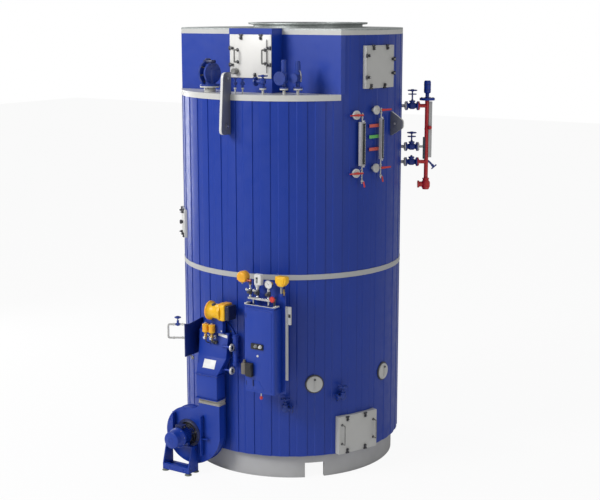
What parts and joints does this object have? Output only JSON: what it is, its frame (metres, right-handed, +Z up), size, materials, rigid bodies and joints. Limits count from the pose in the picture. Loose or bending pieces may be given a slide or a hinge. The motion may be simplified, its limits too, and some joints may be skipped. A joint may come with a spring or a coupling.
{
  "type": "vertical industrial boiler",
  "caption": "Upright round steam boiler in blue panel cladding, with a burner and fan in front, a cabinet, valves on a ledge, sight gauges, a red level pipe and a round smoke outlet.",
  "frame": {"origin": "boiler axis at the floor, in the plane of the base ring's underside", "axes": "+Z up along the boiler axis; -Y is the side with the burner, the cabinet and the flat recess; +X to the right when facing the burner"},
  "size_m": [2.4519, 2.7379, 4.565],
  "materials": {
    "base_ring": "satin grey paint",
    "lower_cladding": "satin blue coated sheet",
    "mid_band": "satin grey trim",
    "upper_cladding": "satin blue coated sheet",
    "ledge_deck": "satin light grey trim",
    "recess_plate": "satin blue coated sheet",
    "top_band": "satin light grey trim",
    "roof_plate": "matt grey sheet",
    "uptake_outlet": "dull galvanised",
    "smoke_box": "satin blue coated sheet",
    "smoke_box_hatch": "off-white coated sheet",
    "access_hatches": "grey coated sheet",
    "lifting_lugs": "bare steel",
    "ledge_stubs": "grey primer",
    "ledge_valves": "blue painted casting",
    "ledge_handwheel": "blue painted casting",
    "gauge_cocks": "bare steel",
    "gauge_bodies": "grey",
    "gauge_lever_left_top": "gloss red",
    "gauge_lever_left_bottom": "gloss red",
    "gauge_lever_right_top": "gloss red",
    "gauge_lever_right_bottom": "gloss red",
    "level_signs": "coloured plastic tags",
    "standpipe": "gloss red",
    "level_nozzles": "grey primer",
    "level_valves": "blue painted casting",
    "level_handwheel_top": "blue painted casting",
    "level_handwheel_middle": "blue painted casting",
    "level_sensor": "satin blue paint",
    "level_scale": "light grey",
    "blow_down_valves": "blue painted casting",
    "fan_casing": "satin blue paint",
    "fan_motor": "satin blue paint",
    "fan_stand": "satin blue paint",
    "flexible_joint": "coated woven joint",
    "burner_casing": "satin blue paint",
    "burner_register": "satin blue paint",
    "burner_actuators": "yellow-orange housing",
    "side_plate": "satin blue paint",
    "oil_loop": "bare steel",
    "oil_handwheel": "blue painted casting",
    "control_cabinet": "satin blue paint",
    "cable_strip": "light grey",
    "instrument_manifold": "bare steel",
    "instruments": "yellow housing"
  },
  "bodies": {
    "boiler": {"base_ring": "base_ring", "lower_cladding": "lower_cladding", "mid_band": "mid_band", "upper_cladding": "upper_cladding", "ledge_deck": "ledge_deck", "recess_plate": "recess_plate", "top_band": "top_band", "roof_plate": "roof_plate", "uptake_outlet": "uptake_outlet", "smoke_box": "smoke_box", "smoke_box_hatch": "smoke_box_hatch", "access_hatches": "access_hatches", "lifting_lugs": "lifting_lugs", "ledge_stubs": "ledge_stubs", "ledge_valves": "ledge_valves", "gauge_cocks": "gauge_cocks", "gauge_bodies": "gauge_bodies", "level_signs": "level_signs", "standpipe": "standpipe", "level_nozzles": "level_nozzles", "level_valves": "level_valves", "level_sensor": "level_sensor", "level_scale": "level_scale", "blow_down_valves": "blow_down_valves", "fan_casing": "fan_casing", "fan_motor": "fan_motor", "fan_stand": "fan_stand", "flexible_joint": "flexible_joint", "burner_casing": "burner_casing", "burner_register": "burner_register", "burner_actuators": "burner_actuators", "side_plate": "side_plate", "oil_loop": "oil_loop", "control_cabinet": "control_cabinet", "cable_strip": "cable_strip", "instrument_manifold": "instrument_manifold", "instruments": "instruments"},
    "ledge_handwheel": {"ledge_handwheel": "ledge_handwheel"},
    "level_handwheel_top": {"level_handwheel_top": "level_handwheel_top"},
    "level_handwheel_middle": {"level_handwheel_middle": "level_handwheel_middle"},
    "oil_handwheel": {"oil_handwheel": "oil_handwheel"},
    "gauge_lever_left_top": {"gauge_lever_left_top": "gauge_lever_left_top"},
    "gauge_lever_left_bottom": {"gauge_lever_left_bottom": "gauge_lever_left_bottom"},
    "gauge_lever_right_top": {"gauge_lever_right_top": "gauge_lever_right_top"},
    "gauge_lever_right_bottom": {"gauge_lever_right_bottom": "gauge_lever_right_bottom"}
  },
  "joints": [
    {"name": "ledge_wheel_turn", "type": "hinge", "parent": "boiler", "child": "ledge_handwheel", "pos_m": [0.31135, -0.99964, 4.067], "axis": [0, 0, 1], "continuous": true},
    {"name": "top_valve_turn", "type": "hinge", "parent": "boiler", "child": "level_handwheel_top", "pos_m": [1.07024, 0.66876, 3.867], "axis": [0, 0, 1], "continuous": true},
    {"name": "middle_valve_turn", "type": "hinge", "parent": "boiler", "child": "level_handwheel_middle", "pos_m": [1.07024, 0.66876, 3.423], "axis": [0, 0, 1], "continuous": true},
    {"name": "oil_valve_turn", "type": "hinge", "parent": "boiler", "child": "oil_handwheel", "pos_m": [-0.47738, -1.39163, 1.644], "axis": [0, 0, 1], "continuous": true},
    {"name": "left_top_cock_turn", "type": "hinge", "parent": "boiler", "child": "gauge_lever_left_top", "pos_m": [1.11469, -0.53168, 3.69], "axis": [0.9026, -0.4305, 0], "range_deg": [0, 90]},
    {"name": "left_bottom_cock_turn", "type": "hinge", "parent": "boiler", "child": "gauge_lever_left_bottom", "pos_m": [1.11469, -0.53168, 3.122], "axis": [0.9026, -0.4305, 0], "range_deg": [-90, 0]},
    {"name": "right_top_cock_turn", "type": "hinge", "parent": "boiler", "child": "gauge_lever_right_top", "pos_m": [1.21744, -0.21776, 3.727], "axis": [0.9736, -0.2284, 0], "range_deg": [0, 90]},
    {"name": "right_bottom_cock_turn", "type": "hinge", "parent": "boiler", "child": "gauge_lever_right_bottom", "pos_m": [1.21744, -0.21776, 3.154], "axis": [0.9736, -0.2284, 0], "range_deg": [-90, 0]}
  ]
}
